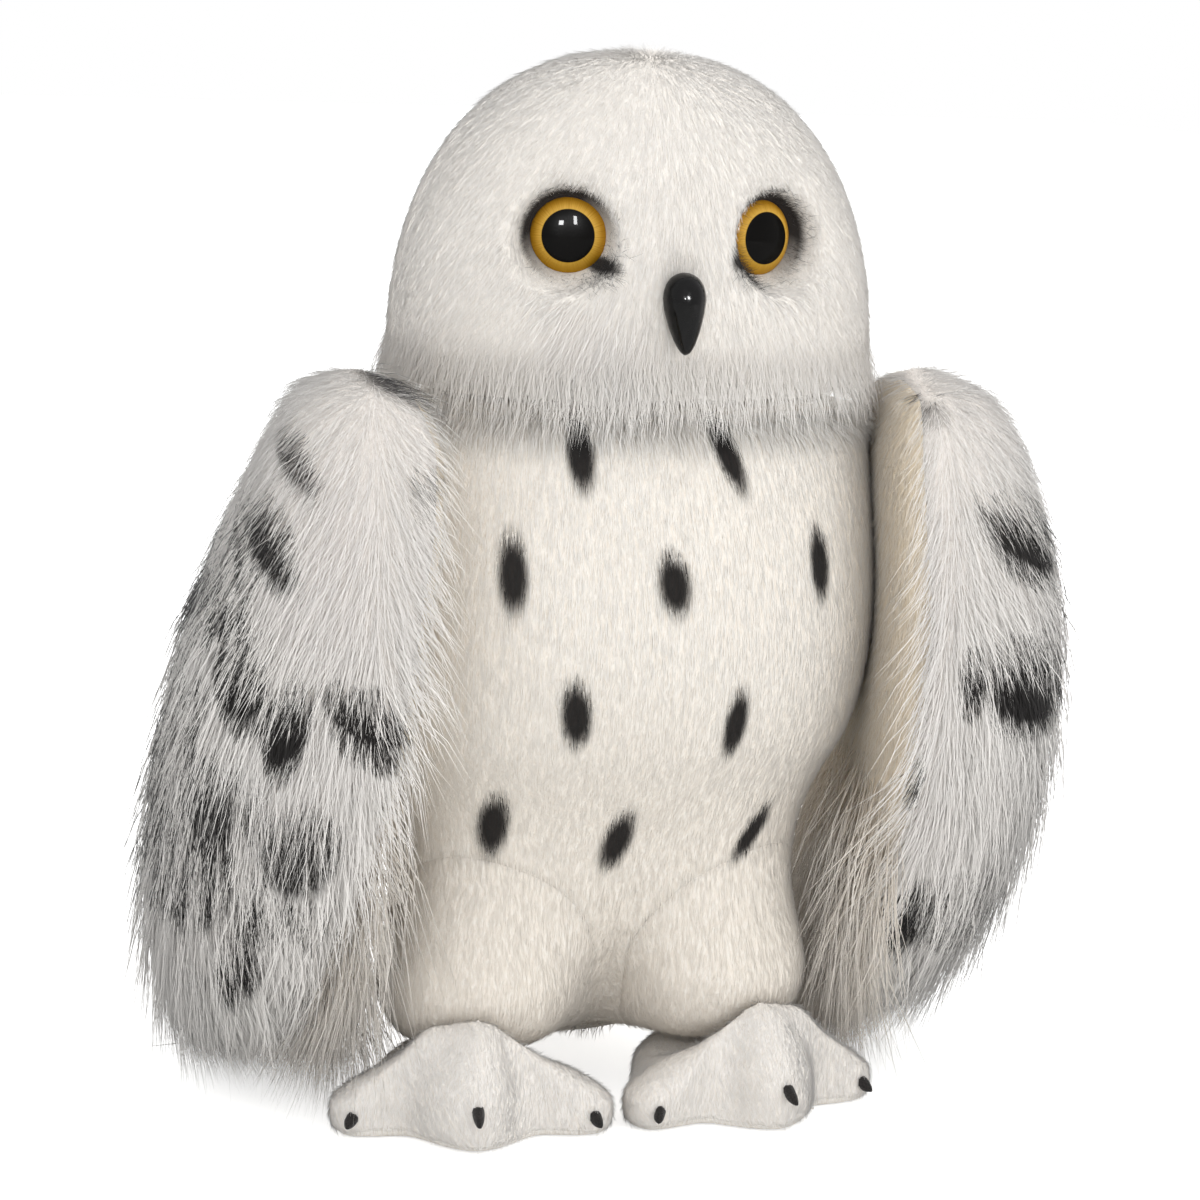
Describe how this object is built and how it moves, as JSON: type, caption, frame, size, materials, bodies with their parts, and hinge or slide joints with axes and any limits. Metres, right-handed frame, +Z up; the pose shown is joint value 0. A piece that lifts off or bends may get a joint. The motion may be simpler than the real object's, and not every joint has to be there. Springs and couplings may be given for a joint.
{
  "type": "plush owl",
  "caption": "Standing stuffed plush owl with domed head, amber safety eyes, black beak, spotted belly, long-pile hanging wings, tail and three-toed feet.",
  "frame": {"origin": "middle of the floor area that the owl covers, on the surface it stands on", "axes": "+Z up, the owl faces -Y, the owl's left side is +X"},
  "size_m": [0.2358, 0.1396, 0.286],
  "materials": {
    "head_plush": "short dense white plush pile",
    "body_plush": "short ivory plush pile, airbrushed dark spots on the belly",
    "foot_plush": "short ivory plush pile",
    "wing_pile": "long shaggy white pile with dark grey airbrushed bars",
    "lining_plush": "short cream plush pile",
    "stuffing": "loose white polyester fibre",
    "pellet_cloth": "plain woven bag filled with plastic pellets",
    "eye_plastic": "clear dome over an amber iris and black pupil",
    "beak_plastic": "glossy black moulded plastic",
    "clear_plastic": "plain natural plastic",
    "black_felt": "black felt point"
  },
  "bodies": {
    "body": {"belly_panel": "body_plush", "back_panel": "body_plush", "body_stuffing": "stuffing", "pellet_bag": "pellet_cloth", "leg_cover_left": "body_plush", "leg_stuffing_left": "stuffing", "leg_cover_right": "body_plush", "leg_stuffing_right": "stuffing"},
    "head": {"head_cover": "head_plush", "head_stuffing": "stuffing", "eye_left": "eye_plastic", "eye_right": "eye_plastic", "eye_washer_left": "clear_plastic", "eye_washer_right": "clear_plastic", "beak": "beak_plastic", "beak_washer": "clear_plastic"},
    "wing_left": {"wing_outer_left": "wing_pile", "wing_lining_left": "lining_plush", "wing_stuffing_left": "stuffing"},
    "wing_right": {"wing_outer_right": "wing_pile", "wing_lining_right": "lining_plush", "wing_stuffing_right": "stuffing"},
    "foot_left": {"foot_cover_left": "foot_plush", "sole_left": "foot_plush", "foot_stuffing_left": "stuffing", "claw_inner_left": "black_felt", "claw_middle_left": "black_felt", "claw_outer_left": "black_felt"},
    "foot_right": {"foot_cover_right": "foot_plush", "sole_right": "foot_plush", "foot_stuffing_right": "stuffing", "claw_inner_right": "black_felt", "claw_middle_right": "black_felt", "claw_outer_right": "black_felt"},
    "tail": {"tail_outer": "wing_pile", "tail_lining": "lining_plush", "tail_stuffing": "stuffing"}
  },
  "joints": [
    {"name": "head_turn", "type": "hinge", "parent": "body", "child": "head", "pos_m": [0.00482, -0.01178, 0.1935], "axis": [0, 0, 1], "range_deg": [-15, 15], "stiffness_Nm_per_rad": 0.05},
    {"name": "wing_left_lift", "type": "hinge", "parent": "body", "child": "wing_left", "pos_m": [0.07582, -0.01178, 0.204], "axis": [0, -1, 0], "range_deg": [0, 75]},
    {"name": "wing_right_lift", "type": "hinge", "parent": "body", "child": "wing_right", "pos_m": [-0.06618, -0.01178, 0.204], "axis": [0, 1, 0], "range_deg": [0, 75]},
    {"name": "foot_left_droop", "type": "hinge", "parent": "body", "child": "foot_left", "pos_m": [0.02932, -0.00298, 0.017], "axis": [1, 0, 0], "range_deg": [0, 25]},
    {"name": "foot_right_droop", "type": "hinge", "parent": "body", "child": "foot_right", "pos_m": [-0.03668, -0.00298, 0.017], "axis": [1, 0, 0], "range_deg": [0, 25]},
    {"name": "tail_lift", "type": "hinge", "parent": "body", "child": "tail", "pos_m": [-0.00118, 0.04162, 0.064], "axis": [1, 0, 0], "range_deg": [0, 35]}
  ]
}
